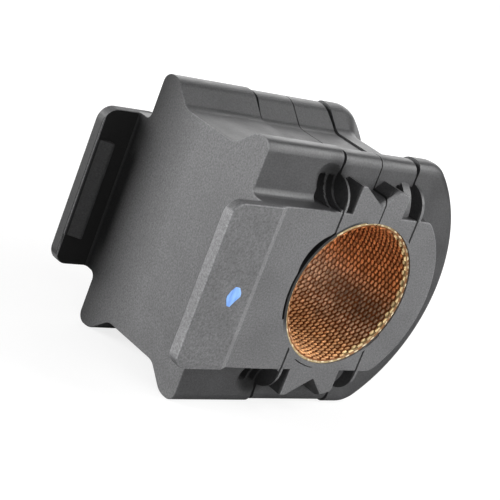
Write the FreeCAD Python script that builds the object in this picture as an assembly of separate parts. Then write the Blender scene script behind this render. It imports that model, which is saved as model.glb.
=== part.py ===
import FreeCAD, Part
import math
import os

# Sway bar bushing: a moulded rubber block with a strap groove round its free side, two
# clip tabs past its base, and a woven liner that the bar turns in.
# X runs from the base to the domed side, Y along the bar, Z is up.
# The origin is on the bar's axis, half way along the bushing.

# Bar and liner
bar_radius = 14.0
liner_thickness = 1.0
liner_recess = 0.35
part_line_width = 0.2

# Body between the two outer walls of the flanges
base_depth = 29.7
flange_half_width = 16.5
crest_half_height = 26.5
middle_crest_drop = 0.35
dome_reach = 30.25
dome_shoulder = 6.05
dome_corner_radius = 7.0
crest_edge_radius = 2.0
rim_band_depth = 6.0
rim_band_overlap = 1.0

# Strap groove, the same all the way round
groove_depth = 4.0
groove_mouth_half_width = 12.4
groove_wall_angle = 40.0
groove_lip_radius = 4.0
groove_floor_radius = 3.0

# Boss on each side, with the bearing face round the bore
bearing_face = 21.0
boss_half_height = 16.4
boss_reach = 21.8
boss_shoulder = 4.9
boss_corner_radius = 3.0
boss_foot_radius = 1.4

# Raised pad and clip tab on each side
pad_face = 21.9
pad_step = 3.6
pad_ramp_run = 1.8
tab_length = 8.0
tab_inner_face = 19.65
tab_corner_radius = 3.0
tab_root_radius = 0.6
tab_root_depth = 1.5

# Catch along the inner face of each tab
catch_half_length = 10.1
catch_height = 2.0
catch_tip_land = 0.3
catch_ramp_run = 2.5
catch_crest_width = 0.5

# Relief slots across the block, one each side of the bore, wider where they leave the crests
slot_offset = 10.2
slot_width = 0.5
slot_mouth_width = 1.1
slot_mouth_depth = 3.0
web_thickness = 0.6

# Clearance round the liner on the base side, open at both ends
relief_depth = 3.0
relief_gap = 0.5
relief_end_angle = 202.0
pocket_radius = 8.0
pocket_reach = 16.9
pocket_angle = 150.0

# Short gaps at the liner's mouth and a crack line beside it: width, depth, first and last angle
mouth_gap = 0.3
mouth_gap_depth = 0.8
mouth_gap_spans = [(101.0, 129.0), (-47.0, -33.0)]
crack_width = 0.2
crack_depth = 1.0
crack_span = (242.0, 262.0)

# Toothed stop on each long side of the boss, its levels measured from the boss
tooth_left = -7.7
tooth_right = 5.7
tooth_height = 5.6
tooth_tip_width = 1.0
notch_middle = -1.5
notch_height = 2.4
tooth_shoulder = 2.1
tooth_right_drop = 0.9
tooth_corner_radius = 0.7
notch_flank_radius = 1.3

# Front edge that the webs between flange wall and boss share, its levels measured from the boss
web_height = 5.8
web_knee_front = 19.6
web_knee_height = 4.1
web_front = 20.9
web_low_height = 0.8
rib_setback = 1.3

# Webs and core pin pockets beside each slot, as distances from the slot's middle
pin_depth = 3.2
pin_height = 5.2
pin_corner_radius = 0.5
outer_pin_near = 2.4
outer_pin_far = 4.4
base_pin_near = 0.6
base_pin_far = 1.8
fin_far = 0.75
rib_near = 1.6
rib_far = 3.6
dome_web_far = 0.9

# Shallow hollow in the flange wall over the outermost pocket
hollow_radius = 5.0
hollow_depth = 1.0
hollow_offset = 2.6
hollow_height = 4.9

# Derived
dome_radius = crest_half_height + dome_shoulder
boss_radius = boss_half_height + boss_shoulder
liner_radius = bar_radius + liner_thickness
web_radius = liner_radius + web_thickness
liner_half_length = bearing_face - liner_recess
tab_end = base_depth + tab_length
pin_floor = flange_half_width - pin_depth
inside_boss = boss_half_height - boss_foot_radius
tooth_top = boss_half_height + tooth_height
notch_level = boss_half_height + notch_height
web_top = boss_half_height + web_height
web_knee_level = boss_half_height + web_knee_height
web_low = boss_half_height + web_low_height
pin_top = boss_half_height + pin_height
hollow_level = boss_half_height + hollow_height
reach_beyond = tab_end + crest_half_height

# Two places nearer than this count as one when edges are picked
same_place = 1e-3


def at(x, z, y=0.0):
    return FreeCAD.Vector(x, y, z)


def arc_point(centre_x, centre_z, radius, degrees):
    turn = math.radians(degrees)
    return at(centre_x + radius * math.cos(turn), centre_z + radius * math.sin(turn))


def line(start, end):
    return Part.LineSegment(start, end).toShape()


def arc(start, middle, end):
    return Part.Arc(start, middle, end).toShape()


def polygon_face(points):
    return Part.Face(Part.makePolygon(points + points[:1]))


def dome_prism(half_width, half_height, reach, radius, corner, inset=0.0):
    """Block with a flat base and a domed end, its outline drawn in the XZ plane."""
    dome_x = reach - radius
    corner_z = half_height - corner
    corner_x = dome_x + math.sqrt((radius - corner) ** 2 - corner_z ** 2)
    lean = math.degrees(math.atan2(corner_z, corner_x - dome_x))
    top = half_height - inset
    small = corner - inset
    large = radius - inset
    dome_start = arc_point(dome_x, 0.0, large, lean)
    dome_end = arc_point(dome_x, 0.0, large, -lean)
    middle = (90.0 + lean) / 2.0
    edges = [
        line(at(-base_depth, top), at(corner_x, top)),
        arc(at(corner_x, top), arc_point(corner_x, corner_z, small, middle), dome_start),
        arc(dome_start, at(dome_x + large, 0.0), dome_end),
        arc(dome_end, arc_point(corner_x, -corner_z, small, -middle), at(corner_x, -top)),
        line(at(corner_x, -top), at(-base_depth, -top)),
        line(at(-base_depth, -top), at(-base_depth, top)),
    ]
    face = Part.Face(Part.Wire(edges))
    face.translate(at(0.0, 0.0, -half_width))
    return face.extrude(at(0.0, 0.0, 2.0 * half_width))


def rim_profile(top):
    """Section of the rim in the YZ plane: two rounded crests with the groove between."""
    slope = math.radians(groove_wall_angle)
    floor = top - groove_depth
    bottom = top - rim_band_depth
    lip = groove_lip_radius * math.tan(slope / 2.0)
    foot = groove_floor_radius * math.tan(slope / 2.0)
    floor_half = groove_mouth_half_width - groove_depth / math.tan(slope)
    outer = flange_half_width
    round_low = top - crest_edge_radius
    edge_y = outer - crest_edge_radius
    lip_y = groove_mouth_half_width + lip
    edges = [
        line(at(0.0, floor, foot - floor_half), at(0.0, floor, floor_half - foot)),
        line(at(0.0, bottom, -outer), at(0.0, bottom, outer)),
    ]
    for side in (-1.0, 1.0):

        def spot(y, z):
            return at(0.0, z, side * y)

        def rounded(y, z, radius, degrees):
            turn = math.radians(degrees)
            return spot(y + radius * math.cos(turn), z + radius * math.sin(turn))

        lip_low = spot(groove_mouth_half_width - lip * math.cos(slope), top - lip * math.sin(slope))
        lip_mid = rounded(lip_y, top - groove_lip_radius, groove_lip_radius, 90.0 + groove_wall_angle / 2.0)
        foot_high = spot(floor_half + foot * math.cos(slope), floor + foot * math.sin(slope))
        foot_mid = rounded(floor_half - foot, floor + groove_floor_radius, groove_floor_radius,
                           groove_wall_angle / 2.0 - 90.0)
        edge_mid = rounded(edge_y, round_low, crest_edge_radius, 45.0)
        edges += [
            line(spot(outer, bottom), spot(outer, round_low)),
            arc(spot(outer, round_low), edge_mid, spot(edge_y, top)),
            line(spot(edge_y, top), spot(lip_y, top)),
            arc(spot(lip_y, top), lip_mid, lip_low),
            line(lip_low, foot_high),
            arc(foot_high, foot_mid, spot(floor_half - foot, floor)),
        ]
    return Part.Face(Part.Wire(Part.__sortEdges__(edges)))


def below(shape):
    """The same shape under the bar's axis."""
    lower = shape.copy()
    lower.rotate(at(0.0, 0.0), at(1.0, 0.0), 180.0)
    return lower


def straight_rim(x_low, x_high, top):
    """Top and bottom runs of the rim between two places along X."""
    section = rim_profile(top)
    section.translate(at(x_low, 0.0))
    upper = section.extrude(at(x_high - x_low, 0.0))
    return [upper, below(upper)]


def flanged_block():
    """Grooved rim round an inner block; the crests drop a little between the relief slots."""
    along = at(0.0, 0.0, 1.0)
    dome_x = dome_reach - dome_radius
    corner_z = crest_half_height - dome_corner_radius
    corner_x = dome_x + math.sqrt((dome_radius - dome_corner_radius) ** 2 - corner_z ** 2)
    lean = math.degrees(math.atan2(corner_z, corner_x - dome_x))
    section = rim_profile(crest_half_height)
    section.translate(at(corner_x, 0.0))
    corner = section.revolve(at(corner_x, corner_z), along, 90.0 - lean)
    section.rotate(at(corner_x, corner_z), along, 90.0 - lean)
    pieces = [corner, below(corner), section.revolve(at(dome_x, 0.0), along, 2.0 * lean)]
    pieces += straight_rim(-base_depth, -slot_offset, crest_half_height)
    pieces += straight_rim(-slot_offset, slot_offset, crest_half_height - middle_crest_drop)
    pieces += straight_rim(slot_offset, corner_x, crest_half_height)
    core = dome_prism(flange_half_width, crest_half_height, dome_reach, dome_radius,
                      dome_corner_radius, rim_band_depth - rim_band_overlap)
    return core.fuse(pieces).removeSplitter()


def boss():
    """Flat-sided boss with a bearing face at each end."""
    return dome_prism(bearing_face, boss_half_height, boss_reach, boss_radius, boss_corner_radius)


def boss_foot(side, level):
    """Concave strip where the base end of the boss leaves the flange wall."""
    wall = flange_half_width
    radius = boss_foot_radius
    bend = radius * (1.0 - math.sqrt(0.5))

    def spot(y, z):
        return at(-base_depth, level * z, side * y)

    high = spot(wall, boss_half_height + radius)
    low = spot(wall + radius, boss_half_height)
    buried = spot(wall - radius, inside_boss)
    edges = [
        arc(high, spot(wall + bend, boss_half_height + bend), low),
        line(low, spot(wall + radius, inside_boss)),
        line(spot(wall + radius, inside_boss), buried),
        line(buried, spot(wall - radius, boss_half_height + radius)),
        line(spot(wall - radius, boss_half_height + radius), high),
    ]
    length = base_depth - slot_offset - outer_pin_far
    return Part.Face(Part.Wire(edges)).extrude(at(length, 0.0))


def tab(side):
    """Raised pad that runs on past the base as a clip tab."""
    base = -base_depth
    step = base + pad_step
    root = tab_root_radius
    inner = tab_inner_face
    centre_x = base - root
    buried = inner - tab_root_depth

    def spot(x, y):
        return at(x, -boss_half_height, side * y)

    bend = spot(centre_x + root * math.cos(math.pi / 4.0), inner - root + root * math.sin(math.pi / 4.0))
    corners = [
        spot(centre_x, inner), spot(-tab_end, inner), spot(-tab_end, pad_face), spot(step, pad_face),
        spot(step + pad_ramp_run, bearing_face), spot(step + pad_ramp_run, buried), spot(base, buried),
        spot(base, inner - root),
    ]
    edges = [line(a, b) for a, b in zip(corners, corners[1:])]
    edges.append(arc(corners[-1], bend, corners[0]))
    solid = Part.Face(Part.Wire(edges)).extrude(at(0.0, 2.0 * boss_half_height))
    ends = []
    for edge in solid.Edges:
        box = edge.BoundBox
        if box.XMax < same_place - tab_end and box.ZMax - box.ZMin < same_place:
            ends.append(edge)
    return solid.makeFillet(tab_corner_radius, ends)


def catch(side):
    """Ramped catch on the inner face of a tab."""
    near = catch_tip_land - tab_end
    peak = near + catch_ramp_run
    heel = peak + catch_crest_width
    inner = tab_inner_face
    crest = inner - catch_height
    root = inner + catch_height / 2.0

    def spot(x, y):
        return at(x, -catch_half_length, side * y)

    corners = [
        spot(near, inner), spot(peak, crest), spot(heel, crest), spot(heel, root), spot(near, root),
    ]
    return polygon_face(corners).extrude(at(0.0, 2.0 * catch_half_length))


def toothed_stop(side, level):
    """Stop with two teeth and a notch, level with the bearing face."""
    right_top = tooth_top - tooth_right_drop
    outline = [
        (tooth_left, inside_boss), (tooth_left, tooth_top), (tooth_left + tooth_tip_width, tooth_top),
        (notch_middle, notch_level), (tooth_shoulder, tooth_top), (tooth_right, right_top),
        (tooth_right, inside_boss),
    ]
    depth = bearing_face - pin_floor
    face = polygon_face([at(x, level * z, side * pin_floor) for x, z in outline])
    solid = face.extrude(at(0.0, 0.0, side * depth))

    def is_right_corner(box):
        at_right = box.XMin > tooth_right - same_place
        at_top = min(abs(box.ZMin), abs(box.ZMax)) > right_top - same_place
        return at_right and at_top and box.YMax - box.YMin > depth - same_place

    def is_notch_flank(box):
        in_front = min(abs(box.YMin), abs(box.YMax)) > bearing_face - same_place
        return in_front and abs(box.XMin - notch_middle) + abs(box.XMax - tooth_shoulder) < same_place

    corner = [edge for edge in solid.Edges if is_right_corner(edge.BoundBox)]
    solid = solid.makeFillet(tooth_corner_radius, corner)
    flank = [edge for edge in solid.Edges if is_notch_flank(edge.BoundBox)]
    return solid.makeFillet(notch_flank_radius, flank)


def web(side, level, x_low, x_high, setback=0.0):
    """Web between flange wall and boss with a curved front edge."""
    def spot(y, z):
        return at(x_low, level * z, side * y)

    front = web_front - setback
    foot = spot(flange_half_width, web_top)
    edges = [
        line(spot(pin_floor, inside_boss), spot(pin_floor, web_top)),
        line(spot(pin_floor, web_top), foot),
        arc(foot, spot(web_knee_front - setback, web_knee_level), spot(front, web_low)),
        line(spot(front, web_low), spot(front, inside_boss)),
        line(spot(front, inside_boss), spot(pin_floor, inside_boss)),
    ]
    return Part.Face(Part.Wire(edges)).extrude(at(x_high - x_low, 0.0))


def webs(side, level):
    """Webs and ribs beside the two slots on one long side of one boss."""
    left = -slot_offset
    right = slot_offset
    return [
        web(side, level, left - outer_pin_near, left + fin_far),
        web(side, level, right - rib_far, right - rib_near, rib_setback),
        web(side, level, right, right + dome_web_far),
    ]


def core_pin(side, level, x_low, x_high):
    """Blank of a core pin that reaches into the flange wall over the boss."""
    depth = bearing_face - pin_floor
    blank = Part.makeBox(x_high - x_low, depth, pin_height)
    blank.translate(at(x_low, boss_half_height, pin_floor))
    upper = []
    for edge in blank.Edges:
        box = edge.BoundBox
        if box.ZMin > pin_top - same_place and box.YMax - box.YMin > depth - same_place:
            upper.append(edge)
    blank = blank.makeFillet(min(pin_corner_radius, (x_high - x_low) / 3.0), upper)
    if level < 0:
        blank = blank.mirror(at(0.0, 0.0), at(0.0, 1.0))
    if side < 0:
        blank = blank.mirror(at(0.0, 0.0), at(0.0, 0.0, 1.0))
    return blank


def core_pins(side, level):
    """Pockets beside the webs, and the hollow over the outermost one."""
    left = -slot_offset
    right = slot_offset
    wall = flange_half_width + hollow_radius - hollow_depth
    ball = Part.makeSphere(hollow_radius, at(left - hollow_offset, level * hollow_level, side * wall))
    keep = Part.makeBox(reach_beyond, 2.0 * reach_beyond, 2.0 * reach_beyond)
    keep.translate(at(left - slot_width / 2.0 - reach_beyond, -reach_beyond, -reach_beyond))
    return [
        core_pin(side, level, left - outer_pin_far, left - outer_pin_near),
        core_pin(side, level, left - base_pin_far, left - base_pin_near),
        core_pin(side, level, left + fin_far, tooth_left),
        core_pin(side, level, tooth_right, right - rib_far),
        core_pin(side, level, right - rib_near, right),
        ball.common(keep),
    ]


def bore(radius, half_length):
    return Part.makeCylinder(radius, 2.0 * half_length, at(0.0, 0.0, -half_length), at(0.0, 0.0, 1.0))


def relief_slots():
    """Two slots right across the block that stop at the web round the liner."""
    blanks = []
    for turn in (-1.0, 1.0):
        outer = turn * (slot_offset + slot_width / 2.0)
        inner = turn * (slot_offset - slot_width / 2.0)
        mouth = outer - turn * slot_mouth_width
        deep = crest_half_height - slot_mouth_depth
        top = crest_half_height + slot_mouth_depth
        spread = 2.0 * mouth - inner
        outline = [(outer, -top), (outer, top), (spread, top), (inner, deep), (inner, -deep), (spread, -top)]
        face = polygon_face([at(x, z) for x, z in outline])
        face.translate(at(0.0, 0.0, -reach_beyond))
        blanks.append(face.extrude(at(0.0, 0.0, 2.0 * reach_beyond)))
    return blanks[0].fuse(blanks[1]).cut(bore(web_radius, reach_beyond))


def ring_sector(side, inner, outer, depth, first, last):
    """Part of a ring sunk into one bearing face, between two angles."""
    start = side * bearing_face
    along = at(0.0, 0.0, -side)
    ring = Part.makeCylinder(outer, depth, at(0.0, 0.0, start), along)
    ring = ring.cut(bore(inner, reach_beyond))
    points = [
        at(0.0, 0.0, start), arc_point(0.0, 0.0, reach_beyond, first),
        arc_point(0.0, 0.0, reach_beyond, (first + last) / 2.0), arc_point(0.0, 0.0, reach_beyond, last),
    ]
    for point in points:
        point.y = start
    return ring.common(polygon_face(points).extrude(along * depth))


def liner_clearances(side):
    """Crescent on the liner's base side, short gaps at its mouth and the crack line."""
    slot_angle = math.degrees(math.acos(-slot_offset / web_radius))
    centre = arc_point(0.0, 0.0, pocket_reach - pocket_radius, pocket_angle)
    centre.y = side * bearing_face
    pocket = Part.makeCylinder(pocket_radius, relief_depth, centre, at(0.0, 0.0, -side))
    made = [
        ring_sector(side, web_radius, web_radius + relief_gap, relief_depth, slot_angle, relief_end_angle),
        pocket.cut(bore(web_radius, reach_beyond)),
    ]
    for first, last in mouth_gap_spans:
        made.append(ring_sector(side, bar_radius, liner_radius + mouth_gap, mouth_gap_depth, first, last))
    inner = web_radius + web_thickness / 2.0
    made.append(ring_sector(side, inner, inner + crack_width, crack_depth, *crack_span))
    return made


def part_line():
    """Parting cut above the bore, where the bushing opens to go over the bar."""
    box = Part.makeBox(part_line_width, 2.0 * reach_beyond, reach_beyond)
    box.translate(at(-part_line_width / 2.0, 0.0, -reach_beyond))
    return box


def rubber_body():
    added = [boss()]
    removed = [bore(liner_radius, reach_beyond), relief_slots(), part_line()]
    for side in (-1.0, 1.0):
        added += [tab(side), catch(side)]
        removed += liner_clearances(side)
        for level in (-1.0, 1.0):
            added += [boss_foot(side, level), toothed_stop(side, level)] + webs(side, level)
            removed += core_pins(side, level)
    solid = flanged_block().fuse(added).removeSplitter()
    return solid.cut(removed)


def fabric_liner():
    tube = bore(liner_radius, liner_half_length).cut(bore(bar_radius, reach_beyond))
    return tube.cut(part_line())


def main():
    os.makedirs("parts", exist_ok=True)
    nodes = {"rubber_body": rubber_body(), "fabric_liner": fabric_liner()}
    for name, shape in nodes.items():
        print(name, "solids", len(shape.Solids), "valid", shape.isValid(), "volume", round(shape.Volume, 1),
              "box", shape.BoundBox)
        if len(shape.Solids) == 1:
            shape = shape.Solids[0]
        shape.exportStep("parts/" + name + ".step")


main()
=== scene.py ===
import math
import random
import bpy
from mathutils import Matrix, Vector


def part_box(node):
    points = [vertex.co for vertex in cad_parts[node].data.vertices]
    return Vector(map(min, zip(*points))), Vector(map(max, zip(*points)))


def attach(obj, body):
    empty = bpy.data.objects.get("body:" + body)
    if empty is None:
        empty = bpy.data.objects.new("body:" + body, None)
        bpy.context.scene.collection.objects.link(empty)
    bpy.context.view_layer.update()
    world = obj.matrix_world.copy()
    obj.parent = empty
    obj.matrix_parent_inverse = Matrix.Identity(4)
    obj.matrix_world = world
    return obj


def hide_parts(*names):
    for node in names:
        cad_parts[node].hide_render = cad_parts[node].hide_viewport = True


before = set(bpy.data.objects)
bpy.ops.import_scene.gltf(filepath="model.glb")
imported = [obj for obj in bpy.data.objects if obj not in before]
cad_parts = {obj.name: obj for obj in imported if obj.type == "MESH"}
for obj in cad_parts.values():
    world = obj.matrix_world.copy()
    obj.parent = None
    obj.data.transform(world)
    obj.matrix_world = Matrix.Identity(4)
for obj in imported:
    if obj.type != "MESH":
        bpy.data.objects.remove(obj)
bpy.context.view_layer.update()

# Sway bar bushing, photographed from the corner between its base and one end of the bore.
# Lengths are in millimetres and become metres through mm(). Angles are in degrees.
random.seed(14)


def mm(value):
    return value * 0.001


def toMm(value):
    return value * 1000.0


def toLinear(red, green, blue):
    # a colour read from a screen, 0 to 255, as the linear value that shaders take
    made = []
    for part in (red, green, blue):
        share = part / 255.0
        made.append(share / 12.92 if share <= 0.04045 else ((share + 0.055) / 1.055) ** 2.4)
    return (made[0], made[1], made[2], 1.0)


def clearSelection():
    if bpy.context.object and bpy.context.object.mode != "OBJECT":
        bpy.ops.object.mode_set(mode="OBJECT")
    bpy.ops.object.select_all(action="DESELECT")


def pick(piece):
    clearSelection()
    piece.select_set(True)
    bpy.context.view_layer.objects.active = piece


def settle(piece):
    # leaves the object at the origin with its place in its mesh
    pick(piece)
    bpy.ops.object.transform_apply(location=True, rotation=True, scale=True)


def joined(pieces, name):
    clearSelection()
    for piece in pieces:
        piece.select_set(True)
    bpy.context.view_layer.objects.active = pieces[0]
    bpy.ops.object.join()
    whole = bpy.context.object
    whole.name = name
    whole.data.name = name
    return whole


def wear(piece, material):
    piece.data.materials.clear()
    piece.data.materials.append(material)


# node helpers: each takes a node tree, and sockets or plain values

def startMaterial(name):
    made = bpy.data.materials.new(name)
    made.use_nodes = True
    return made, made.node_tree.nodes["Principled BSDF"], made.node_tree


def connect(tree, given, socket):
    if isinstance(given, bpy.types.NodeSocket):
        tree.links.new(given, socket)
    else:
        socket.default_value = given


def maths(tree, operation, first, second=None):
    made = tree.nodes.new("ShaderNodeMath")
    made.operation = operation
    connect(tree, first, made.inputs[0])
    if second is not None:
        connect(tree, second, made.inputs[1])
    return made.outputs[0]


def product(tree, first, *others):
    for other in others:
        first = maths(tree, "MULTIPLY", first, other)
    return first


def larger(tree, first, second):
    return maths(tree, "MAXIMUM", first, second)


def within(tree, source, run):
    # one where a coordinate lies in the run from low to high
    made = tree.nodes.new("ShaderNodeMath")
    made.operation = "COMPARE"
    tree.links.new(source, made.inputs[0])
    made.inputs[1].default_value = mm((run[0] + run[1]) / 2.0)
    made.inputs[2].default_value = mm((run[1] - run[0]) / 2.0)
    return made.outputs[0]


def span(tree, source, low, high, least, most, smooth=False):
    # runs from least to most while the source runs from low to high
    made = tree.nodes.new("ShaderNodeMapRange")
    if smooth:
        made.interpolation_type = "SMOOTHSTEP"
    connect(tree, source, made.inputs["Value"])
    connect(tree, low, made.inputs["From Min"])
    connect(tree, high, made.inputs["From Max"])
    connect(tree, least, made.inputs["To Min"])
    connect(tree, most, made.inputs["To Max"])
    return made.outputs["Result"]


def rising(tree, source, run, smooth=False):
    # zero before the run and one past it; a run written high to low rises downwards
    return span(tree, source, mm(run[0]), mm(run[1]), 0.0, 1.0, smooth)


def varied(tree, noise, run, share):
    # a factor about one from a noise that mostly stays within the run
    return span(tree, noise, run[0], run[1], 1.0 - share, 1.0 + share)


def toned(tree, mask, tone, level):
    # the level, times the tone where the mask is one
    return product(tree, span(tree, mask, 0.0, 1.0, 1.0, tone), level)


def placeOn(tree):
    # the place on the object
    return tree.nodes.new("ShaderNodeTexCoord").outputs["Object"]


def axes(tree, where):
    # the three coordinates of a place
    parts = tree.nodes.new("ShaderNodeSeparateXYZ")
    tree.links.new(where, parts.inputs[0])
    return parts.outputs["X"], parts.outputs["Y"], parts.outputs["Z"]


def together(tree, x, y, z):
    made = tree.nodes.new("ShaderNodeCombineXYZ")
    for socket, part in zip(made.inputs, (x, y, z)):
        connect(tree, part, socket)
    return made.outputs[0]


def measured(tree, operation, first, second=None):
    # a length or a distance
    made = tree.nodes.new("ShaderNodeVectorMath")
    made.operation = operation
    connect(tree, first, made.inputs[0])
    if second is not None:
        connect(tree, second, made.inputs[1])
    return made.outputs["Value"]


def fromAxis(tree, x, z):
    return measured(tree, "LENGTH", together(tree, x, 0.0, z))


def scaled(tree, colour, factor):
    made = tree.nodes.new("ShaderNodeVectorMath")
    made.operation = "SCALE"
    connect(tree, colour, made.inputs[0])
    connect(tree, factor, made.inputs["Scale"])
    return made.outputs["Vector"]


def colourMix(tree, factor, first, second):
    made = tree.nodes.new("ShaderNodeMix")
    made.data_type = "RGBA"
    connect(tree, factor, made.inputs["Factor"])
    taken = [socket for socket in made.inputs if socket.type == "RGBA"]
    connect(tree, first, taken[0])
    connect(tree, second, taken[1])
    return [socket for socket in made.outputs if socket.type == "RGBA"][0]


def attribute(tree, name):
    made = tree.nodes.new("ShaderNodeAttribute")
    made.attribute_name = name
    return made.outputs["Fac"]


def bumped(tree, height, strength, depth):
    made = tree.nodes.new("ShaderNodeBump")
    made.inputs["Distance"].default_value = mm(depth)
    connect(tree, strength, made.inputs["Strength"])
    connect(tree, height, made.inputs["Height"])
    return made.outputs["Normal"]


# camera

shot = {
    "azimuth": -45.13,
    "elevation": 16.78,
    "roll": 21.26,
    "distance": 340.0,
    "aim": (-4.94, 3.3, -2.98),
    "lens": 123.73,
    "sensor": 36.0,
    "nearest": 10.0,
}


def placeCamera():
    around = math.radians(shot["azimuth"])
    above = math.radians(shot["elevation"])
    turn = math.radians(shot["roll"])
    back = Vector((
        math.sin(around) * math.cos(above),
        -math.cos(around) * math.cos(above),
        math.sin(above),
    ))
    right = Vector((math.cos(around), math.sin(around), 0.0))
    up = back.cross(right)
    across = right * math.cos(turn) + up * math.sin(turn)
    upright = up * math.cos(turn) - right * math.sin(turn)
    lensData = bpy.data.cameras.new("camera")
    lensData.lens = shot["lens"]
    lensData.sensor_width = shot["sensor"]
    lensData.clip_start = mm(shot["nearest"])
    camera = bpy.data.objects.new("camera", lensData)
    bpy.context.scene.collection.objects.link(camera)
    cameraAxes = Matrix((across, upright, back)).transposed().to_4x4()
    place = mm(Vector(shot["aim"])) + back * mm(shot["distance"])
    camera.matrix_world = Matrix.Translation(place) @ cameraAxes
    bpy.context.scene.camera = camera


placeCamera()
print("camera placed")


# studio light: soft lamps round a dim room, so deep slots stay dark

studio = {
    "distance": 500.0,
    "lamps": {  # direction from the object, power in watts, side
        "baseLamp": ((-1.0, 0.6, 0.1), 5.4, 400.0),
        "endLamp": ((0.4, -1.0, 0.1), 2.7, 400.0),
        "boreLamp": ((-0.5, -1.0, 0.3), 1.4, 400.0),
        "crestLamp": ((0.7, -0.5, 0.7), 1.7, 300.0),
        "backRightLamp": ((1.0, 1.0, 0.5), 1.15, 400.0),
    },
    "roomLevel": 0.0,
    "sheenLevel": 0.03,
}


def addLamp(name, direction, power, side):
    lampData = bpy.data.lights.new(name, "AREA")
    lampData.energy = power
    lampData.shape = "SQUARE"
    lampData.size = mm(side)
    lamp = bpy.data.objects.new(name, lampData)
    bpy.context.scene.collection.objects.link(lamp)
    aimed = Vector(direction).normalized()
    lamp.location = aimed * mm(studio["distance"])
    lamp.rotation_mode = "QUATERNION"
    lamp.rotation_quaternion = aimed.to_track_quat("Z", "Y")


def lightRoom():
    # pale to the camera, a trace of light in reflections and none on the object
    world = bpy.data.worlds.new("room")
    bpy.context.scene.world = world
    world.use_nodes = True
    tree = world.node_tree
    tree.nodes.clear()
    path = tree.nodes.new("ShaderNodeLightPath").outputs
    reflected = larger(tree, path["Is Glossy Ray"], path["Is Transmission Ray"])
    sheen = span(tree, reflected, 0.0, 1.0, studio["roomLevel"], studio["sheenLevel"])
    background = tree.nodes.new("ShaderNodeBackground")
    out = tree.nodes.new("ShaderNodeOutputWorld")
    tree.links.new(larger(tree, sheen, path["Is Camera Ray"]), background.inputs["Strength"])
    tree.links.new(background.outputs["Background"], out.inputs["Surface"])


bpy.context.scene.view_settings.view_transform = "Standard"
lightRoom()
for lampName, (lampDirection, lampPower, lampSide) in studio["lamps"].items():
    addLamp(lampName, lampDirection, lampPower, lampSide)
print("lamps placed")


# pale floor under the flange crests, whiter to the camera further out

ground = {
    "size": 6000.0,
    "colour": (0.25, 0.25, 0.25, 1.0),
    "glowColour": (1.0, 1.0, 1.0, 1.0),
    "roughness": 0.9,
    "lift": 0.8,
    "farLift": 1.0,
    "liftFrom": 90.0,
    "liftTo": 220.0,
}


def floorMaterial():
    made, shader, tree = startMaterial("paleFloor")
    shader.inputs["Base Color"].default_value = ground["colour"]
    shader.inputs["Roughness"].default_value = ground["roughness"]
    shader.inputs["Specular IOR Level"].default_value = 0.0
    shader.inputs["Emission Color"].default_value = ground["glowColour"]
    away = measured(tree, "LENGTH", placeOn(tree))
    lift = span(tree, away, mm(ground["liftFrom"]), mm(ground["liftTo"]), ground["lift"], ground["farLift"])
    seen = tree.nodes.new("ShaderNodeLightPath").outputs["Is Camera Ray"]
    tree.links.new(product(tree, seen, lift), shader.inputs["Emission Strength"])
    return made


def layFloor():
    clearSelection()
    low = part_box("rubber_body")[0]
    bpy.ops.mesh.primitive_plane_add(size=mm(ground["size"]), location=(0.0, 0.0, low.z))
    floor = bpy.context.object
    floor.name = "floor"
    settle(floor)
    wear(floor, floorMaterial())


layFloor()
print("floor laid")


# grain that the rubber and the cloth share

def buildGrainGroup():
    # fine grain and slow patches, both from noise of a given size
    group = bpy.data.node_groups.new("mouldGrain", "ShaderNodeTree")
    face = group.interface
    for name, value in (("Grain Size", 0.35), ("Patch Size", 9.0)):
        socket = face.new_socket(name=name, in_out="INPUT", socket_type="NodeSocketFloat")
        socket.default_value = value
    for name in ("Grain", "Patch"):
        face.new_socket(name=name, in_out="OUTPUT", socket_type="NodeSocketFloat")
    given = group.nodes.new("NodeGroupInput")
    out = group.nodes.new("NodeGroupOutput")
    where = placeOn(group)
    for name, sizeName, detail in (("Grain", "Grain Size", 3.0), ("Patch", "Patch Size", 4.0)):
        texture = group.nodes.new("ShaderNodeTexNoise")
        texture.inputs["Detail"].default_value = detail
        texture.inputs["Roughness"].default_value = 0.6
        connect(group, maths(group, "DIVIDE", toMm(1.0), given.outputs[sizeName]), texture.inputs["Scale"])
        connect(group, where, texture.inputs["Vector"])
        connect(group, texture.outputs["Fac"], out.inputs[name])
    return group


grainGroup = buildGrainGroup()


def mouldGrain(tree, grainSize, patchSize):
    made = tree.nodes.new("ShaderNodeGroup")
    made.node_tree = grainGroup
    made.inputs["Grain Size"].default_value = grainSize
    made.inputs["Patch Size"].default_value = patchSize
    return made.outputs["Grain"], made.outputs["Patch"]


# moulded rubber: matt bloom on the faces that stand proud, smoother and darker elsewhere

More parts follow.
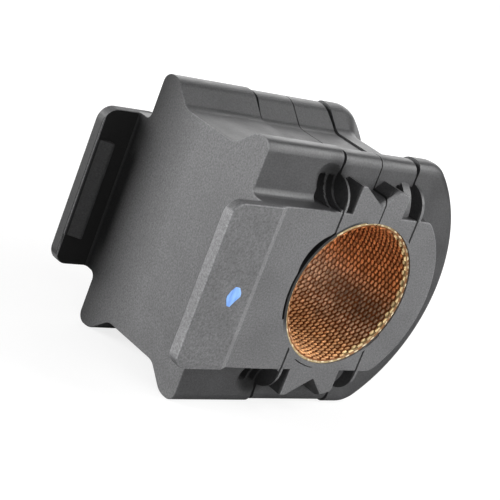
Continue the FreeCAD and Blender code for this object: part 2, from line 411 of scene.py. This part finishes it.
rubberFinish = {
    "mattColour": (0.11, 0.11, 0.1125, 1.0),
    "smoothColour": (0.045, 0.045, 0.0465, 1.0),
    "mattRoughness": 0.62,
    "smoothRoughness": 0.41,
    "grainSize": 0.35,
    "grainDepth": 0.03,
    "grainRange": (0.3, 0.7),
    "grainShare": 0.36,
    "mattBump": 0.4,
    "smoothBump": 0.34,
    "patchSize": 6.0,
    "patchRange": (0.35, 0.65),
    "patchShare": 0.09,
    "smudgeShare": 0.12,
    "farSideDull": 0.7,
    "tones": {  # how light each zone is, where one is as it was
        # painted highlight: the pad ramp is lighter, as if the lamps fell more on it
        "ramp": 1.4,
        # painted highlight: the tab end faces are lighter than the base beside them
        "tabEnd": 1.6,
        # painted shade: the far tab's end is darker, as light falls off towards it
        "farTabEnd": 0.12,
        # painted shadow: the walls inside the tabs are nearly black
        "tabInside": 0.03,
        # painted shade: the base is darker towards the far tab
        "farSide": 0.13,
        # painted shade round the pocket mouths
        "pocket": 0.18,
        # painted shadow on the lip beside the liner, so that the clearance looks wider
        "gapShade": 0.1,
        # painted shade along the parting cut
        "partLine": 0.25,
        # rounded edges are lighter: partly wear, partly a painted highlight
        "edgeWearAndHighlight": 1.35,
    },
    "zones": {  # where each zone starts and ends, on one axis or out from the bar's axis
        "proudAlongBar": (20.3, 20.6),
        "base": (-29.35, -29.6),
        "rampFace": (20.8, 20.9),
        "rampRun": (-26.1, -24.3),
        "tabEnd": (-37.3, -37.5),
        "farTab": (19.7, 22.1),
        "tabWall": (19.3, 19.7),
        "tabRun": (-37.2, -30.0),
        "tabHeight": (-16.3, 16.3),
        "farSide": (1.0, 17.0),
        "betweenTabs": (-19.6, 19.6),
        "pocketPlace": (-11.7, 16.0, 21.4),
        "pocketReach": (5.0, 1.3),
        "gapShadeRing": (14.95, 15.75),
        "gapShadeSide": (-3.0, -6.0),
        "gapShadeHeight": (-9.0, -6.0),
        "partLine": (-0.17, 0.17),
        "upperHalf": (0.0, 0.1),
    },
}


def bodyMasks(tree):
    # one on the zone and zero off it
    zones = rubberFinish["zones"]
    x, y, z = axes(tree, placeOn(tree))
    away = maths(tree, "ABSOLUTE", y)
    base = rising(tree, x, zones["base"])
    masks = {}
    masks["proud"] = larger(tree, rising(tree, away, zones["proudAlongBar"]), base)
    # painted highlight on the pad ramp
    masks["ramp"] = product(tree, within(tree, x, zones["rampRun"]), rising(tree, away, zones["rampFace"]))
    # painted highlight on the tab end faces
    masks["tabEnd"] = rising(tree, x, zones["tabEnd"])
    # painted shade on the far tab's end
    masks["farTabEnd"] = product(tree, masks["tabEnd"], within(tree, y, zones["farTab"]))
    # painted shadow on the walls inside the tabs
    tabWall = product(tree, within(tree, y, zones["tabWall"]), within(tree, x, zones["tabRun"]))
    masks["tabInside"] = product(tree, tabWall, within(tree, z, zones["tabHeight"]))
    # painted shade on the base, darker towards the far tab
    farBase = product(tree, rising(tree, y, zones["farSide"]), base)
    masks["farSide"] = product(tree, farBase, within(tree, away, zones["betweenTabs"]))
    # painted shade, soft, round the four pocket mouths, none on the proud faces
    mirrored = together(tree, x, away, maths(tree, "ABSOLUTE", z))
    apart = measured(tree, "DISTANCE", mirrored, [mm(value) for value in zones["pocketPlace"]])
    behind = span(tree, masks["proud"], 0.0, 1.0, 1.0, 0.0)
    masks["pocket"] = product(tree, rising(tree, apart, zones["pocketReach"], smooth=True), behind)
    # painted shadow on the thin lip between the liner and the clearance on the base side, so that the
    # clearance looks wider
    ring = within(tree, fromAxis(tree, x, z), zones["gapShadeRing"])
    partRing = product(tree, ring, rising(tree, x, zones["gapShadeSide"]))
    masks["gapShade"] = product(tree, partRing, rising(tree, z, zones["gapShadeHeight"]))
    # painted shade along the parting cut, which runs from the bore to the crests above it
    masks["partLine"] = product(tree, within(tree, x, zones["partLine"]), rising(tree, z, zones["upperHalf"]))
    return masks


def rubberMaterial():
    made, shader, tree = startMaterial("mouldedRubber")
    finish = rubberFinish
    grain, patch = mouldGrain(tree, finish["grainSize"], finish["patchSize"])
    masks = bodyMasks(tree)
    # rounded edges are lighter: partly wear, partly a painted highlight
    masks["edgeWearAndHighlight"] = attribute(tree, "edgeWearAndHighlight")
    proud = masks["proud"]
    patchTone = varied(tree, patch, finish["patchRange"], finish["patchShare"])
    speck = varied(tree, grain, finish["grainRange"], finish["grainShare"])
    level = product(tree, patchTone, speck)
    # painted highlights and painted shade go into the colour here, along with the lighter worn edges
    for name, tone in finish["tones"].items():
        level = toned(tree, masks[name], tone, level)
    plain = colourMix(tree, proud, finish["smoothColour"], finish["mattColour"])
    tree.links.new(scaled(tree, plain, level), shader.inputs["Base Color"])
    # the painted-shade zones are dull as well, so that no gleam lies there
    farDull = product(tree, masks["farSide"], finish["farSideDull"])
    dull = larger(tree, larger(tree, masks["pocket"], farDull), masks["tabInside"])
    smudge = varied(tree, patch, finish["patchRange"], finish["smudgeShare"])
    plainRoughness = span(tree, proud, 0.0, 1.0, finish["smoothRoughness"], finish["mattRoughness"])
    roughness = span(tree, dull, 0.0, 1.0, product(tree, plainRoughness, smudge), 1.0)
    tree.links.new(roughness, shader.inputs["Roughness"])
    strength = span(tree, proud, 0.0, 1.0, finish["smoothBump"], finish["mattBump"])
    tree.links.new(bumped(tree, grain, strength, finish["grainDepth"]), shader.inputs["Normal"])
    return made


# rubber body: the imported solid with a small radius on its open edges

rubberEdges = {
    "meetDistance": 0.002,
    "flatAngle": 0.6,
    "softness": 0.22,
    "softSteps": 2,
    "sharpFrom": 32.0,
    "smoothTo": 24.0,
    "reading": 0.05,
    "base": -29.7,
    "padFace": 21.85,
    "bearing": 21.0,
    "bossTop": 16.4,
    "rampFrom": -26.4,
    "rampTo": -24.0,
    "domeFrom": 12.5,
    "linerZone": 17.4,
    "topSlack": 0.15,
    "topShortest": 0.5,
    "stopSlack": 0.1,
    "stopHalf": 7.8,
    "notchFrom": -2.2,
    "notchTo": 2.9,
}


def softened(first, second):
    # true for the edges of base, tabs, pads, stops and bearing faces; the narrow features stay sharp
    size = rubberEdges
    near = size["reading"]
    ends = (toMm(first), toMm(second))
    bearing = all(abs(abs(end.y) - size["bearing"]) < near for end in ends)
    base = all(end.x < size["base"] + near for end in ends)
    pad = all(abs(end.y) > size["padFace"] for end in ends)
    ramp = all(
        abs(end.y) > size["bearing"] - near and size["rampFrom"] < end.x < size["rampTo"]
        for end in ends
    )
    dome = bearing and all(
        end.x > size["domeFrom"] and math.hypot(end.x, end.z) > size["linerZone"]
        for end in ends
    )
    topRun = abs(ends[0].x - ends[1].x) > size["topShortest"] and all(
        abs(end.y) > size["bearing"] - size["topSlack"] and abs(abs(end.z) - size["bossTop"]) < near
        for end in ends
    )
    stop = bearing and all(
        abs(end.z) > size["bossTop"] - size["stopSlack"]
        and abs(end.x) < size["stopHalf"]
        and not size["notchFrom"] < end.x < size["notchTo"]
        for end in ends
    )
    return base or pad or ramp or dome or topRun or stop


def softenRubber():
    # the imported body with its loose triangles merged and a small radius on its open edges
    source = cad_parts["rubber_body"]
    piece = source.copy()
    piece.data = source.data.copy()
    piece.name = "rubberBody"
    piece.data.name = "rubberBody"
    piece.parent = None
    for key in list(piece.keys()):
        if key.startswith("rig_"):
            del piece[key]
    bpy.context.scene.collection.objects.link(piece)
    pick(piece)
    bpy.ops.object.mode_set(mode="EDIT")
    bpy.ops.mesh.select_mode(type="EDGE")
    bpy.ops.mesh.select_all(action="SELECT")
    bpy.ops.mesh.remove_doubles(threshold=mm(rubberEdges["meetDistance"]))
    bpy.ops.mesh.dissolve_limited(angle_limit=math.radians(rubberEdges["flatAngle"]))
    bpy.ops.mesh.select_all(action="DESELECT")
    bpy.ops.mesh.edges_select_sharp(sharpness=math.radians(rubberEdges["sharpFrom"]))
    bpy.ops.object.mode_set(mode="OBJECT")
    points = piece.data.vertices
    for edge in piece.data.edges:
        if edge.select and not softened(points[edge.vertices[0]].co, points[edge.vertices[1]].co):
            edge.select = False
    for face in piece.data.polygons:
        face.select = False
    bpy.ops.object.mode_set(mode="EDIT")
    bpy.ops.mesh.bevel(
        offset=mm(rubberEdges["softness"]),
        segments=rubberEdges["softSteps"],
        affect="EDGES",
        clamp_overlap=False,
        miter_outer="ARC",
    )
    bpy.ops.object.mode_set(mode="OBJECT")
    # faces of the rounded edges, which the rubber makes lighter: partly wear, partly a painted highlight
    edgeWearAndHighlightValues = piece.data.attributes.new("edgeWearAndHighlight", "FLOAT", "FACE")
    for face in piece.data.polygons:
        edgeWearAndHighlightValues.data[face.index].value = 1.0 if face.select else 0.0
    bpy.ops.object.shade_smooth_by_angle(angle=math.radians(rubberEdges["smoothTo"]))
    facing = piece.modifiers.new("facing", "WEIGHTED_NORMAL")
    facing.keep_sharp = True
    bpy.ops.object.modifier_apply(modifier="facing")
    wear(piece, rubber)
    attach(piece, "root")
    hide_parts("rubber_body")
    return piece


rubber = rubberMaterial()
rubberPiece = softenRubber()
print("rubber finished", len(rubberPiece.data.polygons), "faces")


# woven liner: the thread that runs round the bore shows as a bead in every other crossing

weave = {
    "threadsRound": 76,
    "threadsAlong": 76,
    "thickness": 1.0,
    "height": 0.36,
    "edgeMargin": 0.1,
    "cornerCut": 0.15,
    "stepInset": 0.04,
    "crownInset": 0.08,
    "beadHalfLength": 0.61,
    "beadHalfWidth": 0.405,
    "crown": 0.66,
    "crownFrom": 0.7,
    "raisedFrom": 0.01,
    "evenWithin": 0.05,
    "shoulder": 0.4,
    "lean": -7.0,
    "leanWander": 10.0,
    "roundWander": 0.09,
    "alongWander": 0.054,
    "sizeWander": 0.14,
    "dip": 0.06,
    "seamHalf": 0.1,
    "smoothTo": 66.0,
}


def flatCloth(run, half, bottom):
    # flat slab with a blunt eight-sided step on every other crossing
    clearSelection()
    countRound = weave["threadsRound"]
    countAlong = weave["threadsAlong"]
    bpy.ops.mesh.primitive_grid_add(x_subdivisions=countRound, y_subdivisions=countAlong, size=2.0)
    cloth = bpy.context.object
    cloth.scale = (run / 2.0, half, 1.0)
    settle(cloth)
    bpy.ops.object.mode_set(mode="EDIT")
    bpy.ops.mesh.select_mode(type="VERT")
    bpy.ops.mesh.select_all(action="SELECT")
    bpy.ops.mesh.extrude_region_move(TRANSFORM_OT_translate={"value": (0.0, 0.0, bottom)})
    bpy.ops.object.mode_set(mode="OBJECT")
    for face in cloth.data.polygons:
        face.select = False
    for edge in cloth.data.edges:
        edge.select = False
    farthest = (run / 2.0 - weave["edgeMargin"], half - weave["edgeMargin"])
    for vertex in cloth.data.vertices:
        inside = abs(vertex.co.x) < farthest[0] and abs(vertex.co.y) < farthest[1]
        vertex.select = inside and vertex.co.z > bottom / 2.0
    bpy.ops.object.mode_set(mode="EDIT")
    bpy.ops.mesh.bevel(offset=weave["cornerCut"], affect="VERTICES", clamp_overlap=False)
    bpy.ops.mesh.select_mode(type="FACE")
    bpy.ops.mesh.select_all(action="DESELECT")
    bpy.ops.object.mode_set(mode="OBJECT")
    for face in cloth.data.polygons:
        column = int((face.center.x + run / 2.0) / run * countRound)
        row = int((face.center.y + half) / (2.0 * half) * countAlong)
        crossing = len(face.vertices) > 4 and face.normal.z > 0.5
        face.select = crossing and (column + row) % 2 == 0
    shoulder = weave["height"] * weave["shoulder"]
    bpy.ops.object.mode_set(mode="EDIT")
    bpy.ops.mesh.inset(thickness=weave["stepInset"], depth=shoulder, use_individual=True)
    bpy.ops.mesh.inset(thickness=weave["crownInset"], depth=weave["height"] - shoulder, use_individual=True)
    bpy.ops.object.mode_set(mode="OBJECT")
    return cloth


def roundedBead(offset, half, crown, nudge):
    # place on the bead's oval for a corner of the eight-sided step, at 22.5, 45 or 67.5 degrees
    flatter = abs(offset[0]) / half[0] - abs(offset[1]) / half[1]
    turn = 45.0
    if abs(flatter) > weave["evenWithin"]:
        turn = 22.5 if flatter > 0.0 else 67.5
    size = 1.0 + nudge["size"] * weave["sizeWander"]
    if crown:
        size *= weave["crown"]
    length = math.copysign(weave["beadHalfLength"] * math.cos(math.radians(turn)), offset[0]) * size
    width = math.copysign(weave["beadHalfWidth"] * math.sin(math.radians(turn)), offset[1]) * size
    lean = math.radians(weave["lean"] + nudge["lean"] * weave["leanWander"])
    cosine = math.cos(lean)
    sine = math.sin(lean)
    return length * cosine - width * sine, length * sine + width * cosine


def weaveLiner():
    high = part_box("fabric_liner")[1]
    outer = toMm(high.x)
    half = toMm(high.y)
    run = 2.0 * math.pi * (outer - weave["thickness"])
    stepRound = run / weave["threadsRound"]
    stepAlong = 2.0 * half / weave["threadsAlong"]
    bottom = weave["thickness"] - weave["height"]
    cloth = flatCloth(run, half, bottom)
    cloth.name = "linerWeave"
    cloth.data.name = "linerWeave"
    shade = cloth.data.attributes.new("threadHeight", "FLOAT", "POINT")
    tint = cloth.data.attributes.new("threadTint", "FLOAT", "POINT")
    nudges = {}
    for vertex in cloth.data.vertices:
        x, y, z = vertex.co
        rise = (z - bottom) / weave["height"]
        tint.data[vertex.index].value = 0.5
        if rise > weave["raisedFrom"]:
            cell = (int((x + run / 2.0) / stepRound), int((y + half) / stepAlong))
            if cell not in nudges:
                names = ("size", "lean", "round", "along", "dip", "tint")
                nudges[cell] = {name: random.uniform(-1.0, 1.0) for name in names}
            nudge = nudges[cell]
            midX = (cell[0] + 0.5) * stepRound - run / 2.0
            midY = (cell[1] + 0.5) * stepAlong - half
            stepHalf = (stepRound / 2.0, stepAlong / 2.0)
            moved = roundedBead((x - midX, y - midY), stepHalf, rise > weave["crownFrom"], nudge)
            x = midX + moved[0] + nudge["round"] * weave["roundWander"]
            y = midY + moved[1] + nudge["along"] * weave["alongWander"]
            z -= rise * weave["height"] * weave["dip"] * (1.0 + nudge["dip"])
            shade.data[vertex.index].value = rise
            tint.data[vertex.index].value = 0.5 + 0.5 * nudge["tint"]
        # rolled up, with its seam at the top
        radius = outer - z
        seam = math.asin(weave["seamHalf"] / radius)
        share = (x + run / 2.0) / run
        angle = math.pi / 2.0 + seam + share * 2.0 * (math.pi - seam)
        vertex.co = (mm(radius * math.cos(angle)), mm(y), mm(radius * math.sin(angle)))
    pick(cloth)
    bpy.ops.object.mode_set(mode="EDIT")
    bpy.ops.mesh.select_all(action="SELECT")
    bpy.ops.mesh.normals_make_consistent(inside=False)
    bpy.ops.object.mode_set(mode="OBJECT")
    bpy.ops.object.shade_smooth_by_angle(angle=math.radians(weave["smoothTo"]))
    return cloth


# colours of the cloth: rust above, tan below, gray brown between and a darker spot on the dome side

weaveColours = {
    # painted shade: the colour down in the troughs between beads
    "gapShade": toLinear(121, 69, 27),
    "rust": toLinear(234, 150, 92),
    "tan": toLinear(214, 158, 106),
    "grayBrown": toLinear(198, 162, 132),
    "roughness": 0.6,
    "specular": 0.35,
    "grayRun": (-12.5, -9.0),
    "grayShare": 0.8,
    "rustRun": (-4.0, 1.0),
    "threadTop": (0.08, 0.8),
    "threadTones": (0.7, 1.25),
    "fibreSize": 0.36,
    "fibreShare": 0.6,
    "fibreBump": 0.3,
    "fibreDepth": 0.04,
    "patchSize": 3.8,
    "patchShare": 0.15,
    "noiseRange": (0.3, 0.7),
    "darkSpot": 0.42,
    "darkSpotPlace": (12.9, -13.0, -5.6),
    "darkSpotStretch": 0.33,
    "darkSpotReach": (0.8, 5.2),
    "cream": toLinear(238, 212, 156),
    "creamShare": 0.92,
    # painted shade: the cut rows are darker down between the beads
    "creamTroughShade": 0.45,
    "creamTop": 0.8,
    "creamRun": (19.8, 19.95),
    "creamSide": (4.0, 6.5),
    "creamInside": (14.45, 14.35),
    "lipRun": (14.5, 14.62),
    "lipShare": 0.25,
}


def threadColour(tree, z):
    colours = weaveColours
    grayness = product(tree, rising(tree, z, colours["grayRun"]), colours["grayShare"])
    lower = colourMix(tree, grayness, colours["tan"], colours["grayBrown"])
    return colourMix(tree, rising(tree, z, colours["rustRun"]), lower, colours["rust"])


def darkSpotTone(tree, where):
    # a soft dark spot, longer along the bore
    stretch = (1.0, weaveColours["darkSpotStretch"], 1.0)
    squeezed = tree.nodes.new("ShaderNodeVectorMath")
    squeezed.operation = "MULTIPLY"
    squeezed.inputs[1].default_value = stretch
    tree.links.new(where, squeezed.inputs[0])
    place = [mm(part * share) for part, share in zip(weaveColours["darkSpotPlace"], stretch)]
    apart = measured(tree, "DISTANCE", squeezed.outputs["Vector"], place)
    near, far = weaveColours["darkSpotReach"]
    return span(tree, apart, mm(near), mm(far), weaveColours["darkSpot"], 1.0, smooth=True)


def creamMask(tree, x, y, z):
    # pale rows at both cut edges: the inner rows on the dome side, the lip fainter there
    colours = weaveColours
    radius = fromAxis(tree, x, z)
    domeSide = rising(tree, x, colours["creamSide"])
    rows = product(tree, domeSide, rising(tree, radius, colours["creamInside"]))
    fainter = span(tree, domeSide, 0.0, 1.0, 1.0, colours["lipShare"])
    lip = product(tree, rising(tree, radius, colours["lipRun"]), fainter)
    atCut = rising(tree, maths(tree, "ABSOLUTE", y), colours["creamRun"])
    return product(tree, atCut, colours["creamShare"], larger(tree, rows, lip))


def weaveMaterial():
    made, shader, tree = startMaterial("wovenLiner")
    colours = weaveColours
    shader.inputs["Roughness"].default_value = colours["roughness"]
    shader.inputs["Specular IOR Level"].default_value = colours["specular"]
    where = placeOn(tree)
    x, y, z = axes(tree, where)
    height = attribute(tree, "threadHeight")
    tint = attribute(tree, "threadTint")
    grain, patch = mouldGrain(tree, colours["fibreSize"], colours["patchSize"])
    tintTone = span(tree, tint, 0.0, 1.0, *colours["threadTones"])
    patchTone = varied(tree, patch, colours["noiseRange"], colours["patchShare"])
    fibreTone = varied(tree, grain, colours["noiseRange"], colours["fibreShare"])
    level = product(tree, tintTone, patchTone, darkSpotTone(tree, where), fibreTone)
    thread = scaled(tree, threadColour(tree, z), level)
    # painted shade darkens the troughs between beads
    toTop = span(tree, height, *colours["threadTop"], 0.0, 1.0)
    cloth = colourMix(tree, toTop, colours["gapShade"], thread)
    # painted shade darkens the cut rows between beads
    creamShadeByHeight = span(tree, height, 0.0, colours["creamTop"], colours["creamTroughShade"], 1.0)
    cream = scaled(tree, colours["cream"][:3], product(tree, creamShadeByHeight, tintTone))
    tree.links.new(colourMix(tree, creamMask(tree, x, y, z), cloth, cream), shader.inputs["Base Color"])
    tree.links.new(bumped(tree, grain, colours["fibreBump"], colours["fibreDepth"]), shader.inputs["Normal"])
    return made


wovenLiner = weaveMaterial()
clothPiece = weaveLiner()
wear(clothPiece, wovenLiner)
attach(clothPiece, "root")
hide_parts("fabric_liner")
print("liner woven", len(clothPiece.data.polygons), "faces")


# cut edge of the cloth at both ends: a pale thread that dips under every other end

cutEdge = {
    "beads": 44,
    "length": 1.2,
    "width": 0.4,
    "depth": 0.3,
    "stubLength": 0.9,
    "stubWidth": 0.3,
    "stubDepth": 0.21,
    "stubDrop": 0.1,
    "lengthShares": (0.85, 1.12),
    "middleRadius": 14.74,
    "radiusWander": 0.06,
    "sink": 0.03,
    "levelWander": 0.05,
    "leanWander": 0.16,  # radians
    "sides": 8,
    "rings": 6,
    "patchSize": 2.4,
    "paleRange": (0.36, 0.56),
    "roughness": 0.7,
    "colour": toLinear(222, 204, 168),
    "dullColour": toLinear(150, 124, 90),
}


def frayedRing():
    size = cutEdge
    half = toMm(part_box("fabric_liner")[1].y)
    beads = []
    for side in (-1.0, 1.0):
        for place in range(2 * size["beads"]):
            stub = place % 2 == 1
            angle = math.pi / 2.0 + (place + 0.5) * math.pi / size["beads"]
            length = size["stubLength"] if stub else size["length"]
            width = size["stubWidth"] if stub else size["width"]
            depth = size["stubDepth"] if stub else size["depth"]
            length *= random.uniform(*size["lengthShares"])
            radius = size["middleRadius"] + random.uniform(-1.0, 1.0) * size["radiusWander"]
            level = side * (half - size["sink"] + random.uniform(-size["levelWander"], size["levelWander"]))
            if stub:
                level -= side * size["stubDrop"]
            clearSelection()
            bpy.ops.mesh.primitive_uv_sphere_add(segments=size["sides"], ring_count=size["rings"], radius=1.0)
            bead = bpy.context.object
            bead.scale = (mm(width / 2.0), mm(depth / 2.0), mm(length / 2.0))
            lean = random.uniform(-size["leanWander"], size["leanWander"])
            bead.rotation_euler = (lean, -angle, 0.0)
            bead.location = (mm(radius * math.cos(angle)), mm(level), mm(radius * math.sin(angle)))
            beads.append(bead)
    ring = joined(beads, "cutEdge")
    settle(ring)
    bpy.ops.object.shade_smooth()
    return ring


def cutMaterial():
    made, shader, tree = startMaterial("cutThreads")
    shader.inputs["Roughness"].default_value = cutEdge["roughness"]
    grain, patch = mouldGrain(tree, weaveColours["fibreSize"], cutEdge["patchSize"])
    toPale = span(tree, patch, *cutEdge["paleRange"], 0.0, 1.0)
    pale = colourMix(tree, toPale, cutEdge["dullColour"], cutEdge["colour"])
    normal = bumped(tree, grain, weaveColours["fibreBump"], weaveColours["fibreDepth"])
    tree.links.new(pale, shader.inputs["Base Color"])
    tree.links.new(normal, shader.inputs["Normal"])
    return made


ringPiece = frayedRing()
wear(ringPiece, cutMaterial())
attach(ringPiece, "root")
print("cut edge made", len(ringPiece.data.polygons), "faces")


# paint mark on the pad that faces the camera

paintDab = {
    "outline": [
        (-30.95, -0.38), (-30.15, 0.47), (-29.11, 0.32), (-28.42, -0.64), (-28.29, -1.44),
        (-29.24, -2.5), (-29.96, -3.54), (-30.76, -3.38), (-31.4, -2.01), (-31.43, -1.41),
    ],
    "face": -21.9,
    "sink": 0.01,
    "thickness": 0.07,
    "rim": 0.3,
    "edge": 0.05,
    "edgeSteps": 2,
    "edgeFrom": 40.0,
    "smoothTo": 50.0,
    "colour": toLinear(136, 178, 240),
    "deepColour": toLinear(96, 140, 214),
    "deepRange": (0.42, 0.68),
    "roughness": 0.5,
    "streakTurn": 35.0,
    "streakScale": (900.0, 900.0, 260.0),
}


def dabPaint():
    clearSelection()
    corners = paintDab["outline"]
    bpy.ops.mesh.primitive_circle_add(vertices=len(corners), radius=1.0, fill_type="NGON")
    dab = bpy.context.object
    dab.name = "paintMark"
    dab.data.name = "paintMark"
    for vertex, (x, z) in zip(dab.data.vertices, corners):
        vertex.co = (mm(x), mm(paintDab["face"] + paintDab["sink"]), mm(z))
    outwards = (0.0, -mm(paintDab["thickness"]), 0.0)
    pick(dab)
    bpy.ops.object.mode_set(mode="EDIT")
    bpy.ops.mesh.select_all(action="SELECT")
    bpy.ops.mesh.extrude_region_move(TRANSFORM_OT_translate={"value": outwards})
    bpy.ops.mesh.inset(thickness=mm(paintDab["rim"]), depth=0.0)
    bpy.ops.mesh.select_all(action="SELECT")
    bpy.ops.mesh.normals_make_consistent(inside=False)
    bpy.ops.object.mode_set(mode="OBJECT")
    edging = dab.modifiers.new("edge", "BEVEL")
    edging.width = mm(paintDab["edge"])
    edging.segments = paintDab["edgeSteps"]
    edging.angle_limit = math.radians(paintDab["edgeFrom"])
    bpy.ops.object.modifier_apply(modifier="edge")
    bpy.ops.object.shade_smooth_by_angle(angle=math.radians(paintDab["smoothTo"]))
    return dab


def paintMaterial():
    # brushed streaks, deeper where the paint is thick
    made, shader, tree = startMaterial("bluePaint")
    shader.inputs["Roughness"].default_value = paintDab["roughness"]
    turned = tree.nodes.new("ShaderNodeMapping")
    turned.inputs["Rotation"].default_value = (0.0, math.radians(paintDab["streakTurn"]), 0.0)
    turned.inputs["Scale"].default_value = paintDab["streakScale"]
    streaks = tree.nodes.new("ShaderNodeTexNoise")
    streaks.inputs["Scale"].default_value = 1.0
    streaks.inputs["Detail"].default_value = 3.0
    tree.links.new(placeOn(tree), turned.inputs["Vector"])
    tree.links.new(turned.outputs["Vector"], streaks.inputs["Vector"])
    toDeep = span(tree, streaks.outputs["Fac"], *paintDab["deepRange"], 0.0, 1.0)
    mixed = colourMix(tree, toDeep, paintDab["colour"], paintDab["deepColour"])
    tree.links.new(mixed, shader.inputs["Base Color"])
    return made


dabPiece = dabPaint()
wear(dabPiece, paintMaterial())
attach(dabPiece, "root")
print("paint mark made")
